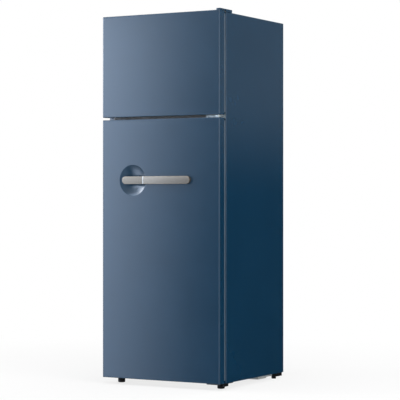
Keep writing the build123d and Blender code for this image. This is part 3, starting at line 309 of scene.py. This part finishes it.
# zinc-plated pressed steel: bluish silver, slightly cloudy
def zincPlate():
    look = {"low": "#b4bab8", "high": "#cbd0cd", "toneMm": 7, "toneDetail": 4.0, "rough": (0.3, 0.42)}
    material, tree, shader, place = startMaterial("zincPlate", {"Metallic": 1.0})
    colour, factor = wanderingTone(tree, place, look)
    linkFinish(tree, shader, look, colour, factor)
    return material


# aluminium brushed along its length, then satin anodised: long streaks, coarser than real so that they show
def brushedAluminium(name, low, high):
    look = {"low": low, "high": high, "toneMm": 0.7, "toneDetail": 4.0, "streakLengthMm": 120,
            "rough": (0.16, 0.2), "reliefMm": 0.003}
    material, tree, shader, place = startMaterial(name, {"Metallic": 0.85, "Anisotropic": 0.3})
    squeeze = look["toneMm"] / look["streakLengthMm"]
    lie = addNode(tree, "ShaderNodeMapping", None, {"Vector": place, "Scale": (squeeze, 1.0, 1.0)})
    colour, factor = wanderingTone(tree, lie.outputs["Vector"], look)
    linkFinish(tree, shader, look, colour, factor, factor)
    return material


# chrome-plated band, polished: bright with faint cloth marks
def polishedChrome():
    look = {"low": "#a09b93", "high": "#aba69e", "toneMm": 1.5, "rough": (0.16, 0.2)}
    material, tree, shader, place = startMaterial("polishedChrome", {"Metallic": 1.0})
    colour, factor = wanderingTone(tree, place, look)
    linkFinish(tree, shader, look, colour, factor)
    return material


# pad-printed ink of the knob's digits and their pointer: flat grey with a slight mottle
def padPrintInk():
    look = {"low": "#4a4f55", "high": "#585d63", "toneMm": 1.5, "rough": (0.5, 0.6)}
    material, tree, shader, place = startMaterial("padPrintInk", {"IOR": 1.48})
    colour, factor = wanderingTone(tree, place, look)
    linkFinish(tree, shader, look, colour, factor)
    return material


# finish of each material slot of the record
finishes = {
    "blue_paint": bakedNavyPaint(),
    "blue_plastic": mouldedNavyAbs(),
    "galvanised_steel": galvanisedSheet(),
    "foam": rigidFoam(),
    "white_liner": vacuumFormedWhite(),
    "white_trim": mouldedWhiteAbs(),
    "grey_rail_paint": stovePaint("greyStovePaint", "#a3a2a1", "#a7a6a5"),
    "grey_plug": greyPolypropylene(),
    "copper_tube": drawnCopper(),
    "shelf_glass": toughenedGlass(),
    "white_wire": dippedWhiteWire(),
    "clear_bin": clearPolystyrene(),
    "lamp_diffuser": opalPolycarbonate(),
    "circuit_board": solderMask(),
    "black_paint": blackStoveEnamel(),
    "black_plastic": mouldedBlackNylon(),
    "black_rubber": mouldedRubber(),
    "grey_gasket": extrudedVinyl(),
    "zinc_steel": zincPlate(),
    "brushed_handle": brushedAluminium("brushedAluminium", "#847c71", "#8c8479"),
    "polished_band": polishedChrome(),
}

# nodes whose finish is a shade of their slot's own
nodeFinishes = {
    "handle_grip": brushedAluminium("brushedAluminiumGrip", "#6e665c", "#756e63"),
    "compressor_tray": stovePaint("paleStovePaint", "#c3c5c3", "#cdcfcd"),
}
printInk = padPrintInk()
clearSlots = ("shelf_glass", "clear_bin")  # these let the lamps through
print("stage: materials made,", len(finishes) + len(nodeFinishes) + 1)


# every CAD node takes the finish of its slot, or its own
for entry in frame["record"]["subparts"]:
    solid = frame["nodes"][entry["node"]]
    finish = nodeFinishes.get(entry["node"], finishes[entry["material_slot"]])
    solid.visible_shadow = entry["material_slot"] not in clearSlots
    if not solid.material_slots:
        solid.data.materials.append(finish)
    for slot in solid.material_slots:
        slot.material = finish
print("stage: nodes dressed")


# glass shelves: each sheet stands a hair clear of what it lies on, so that the white ledges show through it
shelfSheet = {"levels": ("crisper", "lower", "upper"), "clear": 0.0004,
              "polishedEdge": 0.0006, "edgeSteps": 2}


def makeShelfSheet(level):
    node = level + "_shelf_glass"
    mesh = frame["nodes"][node].data.copy()
    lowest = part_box(node)[0][2] + shelfSheet["clear"]
    for vertex in mesh.vertices:
        vertex.co.z = max(vertex.co.z, lowest)
    sheet = bpy.data.objects.new(level + "ShelfSheet", mesh)
    scene.collection.objects.link(sheet)
    sheet.visible_shadow = False
    edge = sheet.modifiers.new("polishedEdge", "BEVEL")
    edge.width = shelfSheet["polishedEdge"]
    edge.segments = shelfSheet["edgeSteps"]
    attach(sheet, "cabinet")
    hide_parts(node)


for level in shelfSheet["levels"]:
    makeShelfSheet(level)
print("stage: glass shelves laid")


# printed scale of the knob: digits that turn with it and a mark beside it
dial = {"digits": "01234", "stepDegrees": 62.0, "pointerDegrees": 90.0, "ring": 0.0108, "digitSize": 0.0052,
        "ridgeHeight": 0.005, "inkDepth": 0.00012, "pointerGap": 0.0016, "pointerSize": 0.0036}


# one digit as a mesh that lies in the x-y plane
def digitMesh(digit):
    outline = bpy.data.curves.new("digitOutline", "FONT")
    outline.body = digit
    outline.size = dial["digitSize"]
    outline.align_x = "CENTER"
    outline.align_y = "CENTER"
    outline.extrude = dial["inkDepth"]
    mould = bpy.data.objects.new("digitOutline", outline)
    scene.collection.objects.link(mould)
    mesh = bpy.data.meshes.new_from_object(mould.evaluated_get(bpy.context.evaluated_depsgraph_get()))
    bpy.data.objects.remove(mould)
    return mesh


def addPrint(name, form, body):
    mesh = bpy.data.meshes.new(name)
    form.to_mesh(mesh)
    form.free()
    mesh.materials.append(printInk)
    piece = bpy.data.objects.new(name, mesh)
    scene.collection.objects.link(piece)
    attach(piece, body)


# digits round the dial: each comes up to the pointer as the knob turns
def printDial():
    low, high = (Vector(corner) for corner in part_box("thermostat_knob"))
    middle = (low + high) / 2
    middle.y = low.y + dial["ridgeHeight"]
    form = bmesh.new()
    for index, digit in enumerate(dial["digits"]):
        turn = math.radians(dial["pointerDegrees"] + dial["stepDegrees"] * index)
        mesh = digitMesh(digit)
        mesh.transform(Matrix.Translation(middle) @ Matrix.Rotation(turn, 4, "Y")
                       @ Matrix.Translation((0, 0, dial["ring"])) @ Matrix.Rotation(math.pi / 2, 4, "X"))
        form.from_mesh(mesh)
        bpy.data.meshes.remove(mesh)
    addPrint("dialDigits", form, "thermostat_knob")


# triangle on the box beside the knob
def printPointer():
    low, high = (Vector(corner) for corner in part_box("thermostat_knob"))
    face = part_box("control_box")[0][1]
    tip = high.x + dial["pointerGap"]
    mid = (low.z + high.z) / 2
    size = dial["pointerSize"]
    corners = [(tip, mid), (tip + size, mid - size / 2), (tip + size, mid + size / 2)]
    form = bmesh.new()
    front = [form.verts.new((x, face - dial["inkDepth"], z)) for x, z in corners]
    back = [form.verts.new((x, face + dial["inkDepth"], z)) for x, z in corners]
    form.faces.new(front)
    form.faces.new(back[::-1])
    for index in range(len(corners)):
        after = (index + 1) % len(corners)
        form.faces.new((front[after], front[index], back[index], back[after]))
    bmesh.ops.recalc_face_normals(form, faces=form.faces)
    addPrint("dialPointer", form, "cabinet")


printDial()
printPointer()
print("stage: dial printed")


# studio: white floor and surround
studio = {"floorSize": 400.0, "floorTone": "#f4f4f4", "shadowShare": 0.22, "shadowReach": (0.9, 2.2),
          "ambient": 0.45, "white": "#ffffff"}


# 1 for rays that come from the camera, a mirror or a glass, else 0
def seenDirectly(tree):
    path = addNode(tree, "ShaderNodeLightPath").outputs
    lookedAt = addNode(tree, "ShaderNodeMath", {"operation": "MAXIMUM"},
                       {0: path["Is Camera Ray"], 1: path["Is Glossy Ray"]}).outputs[0]
    return addNode(tree, "ShaderNodeMath", {"operation": "MAXIMUM"},
                   {0: lookedAt, 1: path["Is Transmission Ray"]}).outputs[0]


# a floor that keeps the shadow near the object and is plain white further out
def makeFloor():
    bpy.ops.mesh.primitive_plane_add(size=studio["floorSize"], location=(0, 0, 0))
    floor = bpy.context.object
    floor.name = "floor"
    material = bpy.data.materials.new("paleStudioFloor")
    material.use_nodes = True
    tree = material.node_tree
    tree.nodes.clear()
    place = addNode(tree, "ShaderNodeTexCoord").outputs["Object"]
    away = addNode(tree, "ShaderNodeVectorMath", {"operation": "LENGTH"}, {0: place}).outputs["Value"]
    near, far = studio["shadowReach"]
    white = addNode(tree, "ShaderNodeMapRange", {"interpolation_type": "SMOOTHSTEP"}, {
        "Value": away, "From Min": near, "From Max": far,
        "To Min": 1 - studio["shadowShare"], "To Max": 1.0}).outputs["Result"]
    share = addNode(tree, "ShaderNodeMath", {"operation": "MULTIPLY"}, {0: seenDirectly(tree), 1: white})
    matt = addNode(tree, "ShaderNodeBsdfDiffuse", None, {"Color": linearColour(studio["floorTone"])})
    glow = addNode(tree, "ShaderNodeEmission", None, {
        "Color": linearColour(studio["white"]), "Strength": 1.0})
    mix = addNode(tree, "ShaderNodeMixShader", None,
                  {0: share.outputs[0], 1: matt.outputs[0], 2: glow.outputs[0]})
    addNode(tree, "ShaderNodeOutputMaterial", None, {"Surface": mix.outputs[0]})
    floor.data.materials.append(material)
    floor.visible_glossy = False  # the cards stand for it in reflections


def makeWorld():
    world = bpy.data.worlds.new("studioSurround")
    scene.world = world
    world.use_nodes = True
    tree = world.node_tree
    tree.nodes.clear()
    white = linearColour(studio["white"])
    soft = addNode(tree, "ShaderNodeBackground", None, {"Color": white, "Strength": studio["ambient"]})
    plain = addNode(tree, "ShaderNodeBackground", None, {"Color": white, "Strength": 1.0})
    mix = addNode(tree, "ShaderNodeMixShader", None,
                  {0: seenDirectly(tree), 1: soft.outputs[0], 2: plain.outputs[0]})
    addNode(tree, "ShaderNodeOutputWorld", None, {"Surface": mix.outputs[0]})


# cards that only mirrors see; each glow goes from one level to another between two heights
coolWhite = "#d5e5fd"
floorCard = {"half": 9.0, "height": -1.0, "glow": (0.6, 0.6), "glowHeights": (0.0, 1.0), "tint": "#ffffff"}

# upright cards: two points in plan, lower and upper edge, glow
uprightCards = {
    "frontCard": {"from": (-4.5, -3.0), "to": (-0.88, -3.0), "edges": (-1.0, 1.92),
                  "glow": (0.0, 0.4), "glowHeights": (0.3, 1.9), "tint": "#ffffff",
                  "sheen": {"span": (-2.4, -1.43), "levels": (7.0, 0.0), "heights": (-0.3, 1.8),
                            "fade": (0.66, 1.26), "tint": coolWhite}},
    "frontFillCard": {"from": (-0.88, -3.0), "to": (1.2, -3.0), "edges": (-1.0, 1.92),
                      "glow": (1.1, 1.1), "glowHeights": (0.3, 1.9), "tint": coolWhite},
    "leftCard": {"from": (-4.5, -3.0), "to": (-4.5, -0.6), "edges": (-1.0, 3.2),
                 "glow": (1.0, 7.5), "glowHeights": (0.7, 1.7), "tint": coolWhite},
    "upperLeftCard": {"from": (-4.5, -3.0), "to": (-3.4, -3.0), "edges": (1.92, 3.0),
                      "glow": (7.5, 7.5), "glowHeights": (2.0, 3.0), "tint": coolWhite},
    "highCard": {"from": (-4.5, -3.0), "to": (-1.4, -3.0), "edges": (3.0, 4.6),
                 "glow": (6.5, 6.5), "glowHeights": (2.0, 3.0), "tint": coolWhite},
    "edgeCard": {"from": (1.2, -3.0), "to": (3.2, -1.2), "edges": (-1.0, 1.75),
                 "glow": (0.6, 2.3), "glowHeights": (0.2, 1.5), "tint": "#ffffff"},
    "sideCard": {"sides": (-1, 1), "from": (0.35, 0.67), "to": (1.33, 0.10), "edges": (-1.0, 2.2),
                 "glow": (0.0, 0.28), "glowHeights": (0.70, 1.2), "tint": "#f0f7ff"},
}


# a ramp along one coordinate of a card
def cardRamp(tree, axis, span, levels, interpolation):
    place = addNode(tree, "ShaderNodeTexCoord").outputs["Object"]
    along = addNode(tree, "ShaderNodeSeparateXYZ", None, {"Vector": place}).outputs[axis]
    return addNode(tree, "ShaderNodeMapRange", {"interpolation_type": interpolation}, {
        "Value": along, "From Min": span[0], "From Max": span[1],
        "To Min": levels[0], "To Max": levels[1]}).outputs["Result"]


# glow that changes with height and, where a sheen is given, a second glow that also changes with x
def makeCard(name, corners, look):
    mesh = bpy.data.meshes.new(name)
    mesh.from_pydata(corners, [], [(0, 1, 2, 3)])
    card = bpy.data.objects.new(name, mesh)
    scene.collection.objects.link(card)
    material = bpy.data.materials.new(name)
    material.use_nodes = True
    tree = material.node_tree
    tree.nodes.clear()
    level = cardRamp(tree, "Z", look["glowHeights"], look["glow"], "SMOOTHSTEP")
    shine = addNode(tree, "ShaderNodeEmission", None, {
        "Color": linearColour(look["tint"]), "Strength": level})
    if "sheen" in look:
        sheen = look["sheen"]
        across = cardRamp(tree, "X", sheen["span"], sheen["levels"], "LINEAR")
        fade = cardRamp(tree, "Z", sheen["heights"], sheen["fade"], "LINEAR")
        lit = addNode(tree, "ShaderNodeMath", {"operation": "MULTIPLY"}, {0: across, 1: fade}).outputs[0]
        cool = addNode(tree, "ShaderNodeEmission", None, {
            "Color": linearColour(sheen["tint"]), "Strength": lit})
        shine = addNode(tree, "ShaderNodeAddShader", None, {0: shine.outputs[0], 1: cool.outputs[0]})
    addNode(tree, "ShaderNodeOutputMaterial", None, {"Surface": shine.outputs[0]})
    mesh.materials.append(material)
    card.visible_camera = False
    card.visible_diffuse = False
    card.visible_transmission = False
    card.visible_shadow = False


def makeFloorCard(look):
    half, height = look["half"], look["height"]
    corners = [(x * half, y * half, height) for x, y in ((-1, -1), (1, -1), (1, 1), (-1, 1))]
    makeCard("floorCard", corners, look)


# where sides are given, one card stands on each, with x turned to that side
def makeUprightCard(name, look):
    low, high = look["edges"]
    for side in look.get("sides", (1,)):
        start, end = ((x * side, y) for x, y in (look["from"], look["to"]))
        makeCard(name, [(*start, low), (*end, low), (*end, high), (*start, high)], look)


# soft lamps; where mirrors don't see one, a card gives the reflection instead
lamps = {
    "leftSoftbox": {"place": (-2.26, -2.28, 1.35), "aim": (0, 0, 0.8), "size": (1.8, 2.6), "watts": 16,
                    "mirrored": False},
    "highLeftSoftbox": {"place": (-2.7, -1.2, 1.9), "aim": (0, 0, 0.8), "size": (1.0, 1.0), "watts": 22,
                        "mirrored": True},
    "topSoftbox": {"place": (0.4, -0.6, 3.4), "aim": (0, 0, 0.7), "size": (2.0, 2.0), "watts": 50,
                   "mirrored": True},
    "rightFill": {"place": (3.4, -1.2, 1.5), "aim": (0, 0, 0.7), "size": (1.9, 2.6), "watts": 42,
                  "mirrored": False},
    "backFill": {"place": (0.8, 3.6, 1.6), "aim": (0, 0, 0.6), "size": (2.0, 2.0), "watts": 36,
                 "mirrored": False},
}


def makeLamp(name, look):
    data = bpy.data.lights.new(name, "AREA")
    data.shape = "RECTANGLE"
    data.size, data.size_y = look["size"]
    data.energy = look["watts"]
    lamp = bpy.data.objects.new(name, data)
    scene.collection.objects.link(lamp)
    lamp.location = look["place"]
    lamp.rotation_euler = (Vector(look["aim"]) - Vector(look["place"])).to_track_quat("-Z", "Y").to_euler()
    lamp.visible_glossy = look["mirrored"]


makeFloor()
makeWorld()
makeFloorCard(floorCard)
for name, look in uprightCards.items():
    makeUprightCard(name, look)
for name, look in lamps.items():
    makeLamp(name, look)
print("stage: studio lit")


# camera level with the middle of the cabinet, to the right of the front
shot = {"place": (3.2119, -5.5561, 0.7113), "azimuth": 29.8, "lens": 146.82, "sensor": 36.0, "reach": 100}
cameraData = bpy.data.cameras.new("photoCamera")
cameraData.lens = shot["lens"]
cameraData.sensor_width = shot["sensor"]
cameraData.clip_end = shot["reach"]
camera = bpy.data.objects.new("photoCamera", cameraData)
scene.collection.objects.link(camera)
camera.location = shot["place"]
camera.rotation_euler = (math.pi / 2, 0, math.radians(shot["azimuth"]))
scene.camera = camera
print("stage: camera placed")
